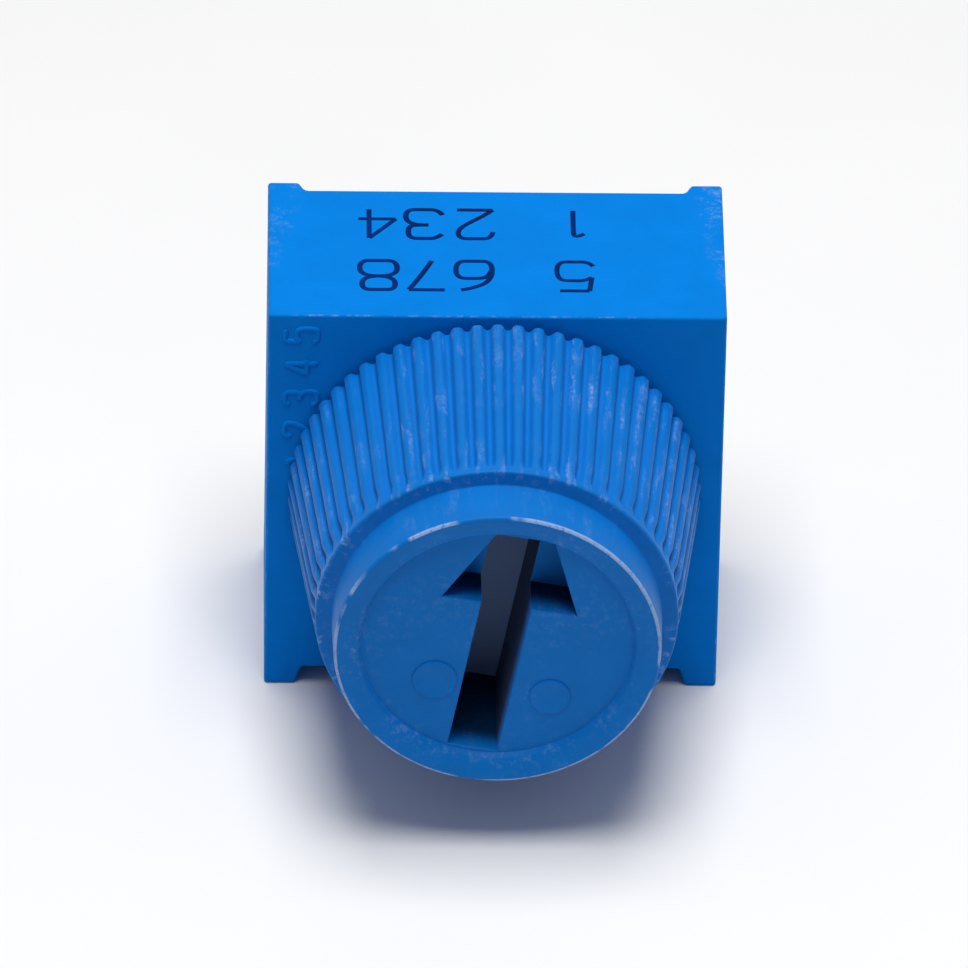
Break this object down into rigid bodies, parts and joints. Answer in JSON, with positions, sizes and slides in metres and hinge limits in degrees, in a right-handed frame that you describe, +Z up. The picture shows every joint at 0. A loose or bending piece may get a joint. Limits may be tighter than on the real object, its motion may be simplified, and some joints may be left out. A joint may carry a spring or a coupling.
{
  "type": "trimmer potentiometer",
  "caption": "Square single-turn trimmer potentiometer that stands on edge, with a knurled finger knob and slot in front and round pins behind.",
  "frame": {"origin": "middle of the footprint of the whole part, pins included, on the surface that the two rails stand on", "axes": "+X to the right seen from the knob's side, +Y from the knob to the pins along the rotor's axis, +Z up"},
  "size_m": [0.0096, 0.0138, 0.0095],
  "materials": {
    "housing_plastic": "moulded blue thermoplastic, semi-matt",
    "knob_plastic": "moulded blue thermoplastic, semi-matt, lightly scuffed",
    "rotor_plastic": "moulded off-white thermoplastic",
    "seal_rubber": "silicone rubber",
    "spring_metal": "stamped precious-metal spring alloy",
    "plate_ceramic": "unglazed white alumina",
    "track_film": "fired cermet resistive ink",
    "conductor_film": "fired palladium-silver conductor ink",
    "pin_metal": "tinned round copper wire",
    "solder": "bright solder",
    "resin": "cured epoxy resin"
  },
  "bodies": {
    "housing": {"housing": "housing_plastic", "ceramic_plate": "plate_ceramic", "resistive_track": "track_film", "end_pad_left": "conductor_film", "end_pad_right": "conductor_film", "collector": "conductor_film", "end_pin_left": "pin_metal", "wiper_pin": "pin_metal", "end_pin_right": "pin_metal", "solder_left": "solder", "solder_middle": "solder", "solder_right": "solder", "resin": "resin"},
    "rotor": {"rotor": "rotor_plastic", "knob": "knob_plastic", "o_ring": "seal_rubber", "wiper_contact": "spring_metal"}
  },
  "joints": [
    {"name": "knob_turn", "type": "hinge", "parent": "housing", "child": "rotor", "pos_m": [0, 0, 0.00512], "axis": [0, 1, 0], "range_deg": [-150, 130]}
  ]
}
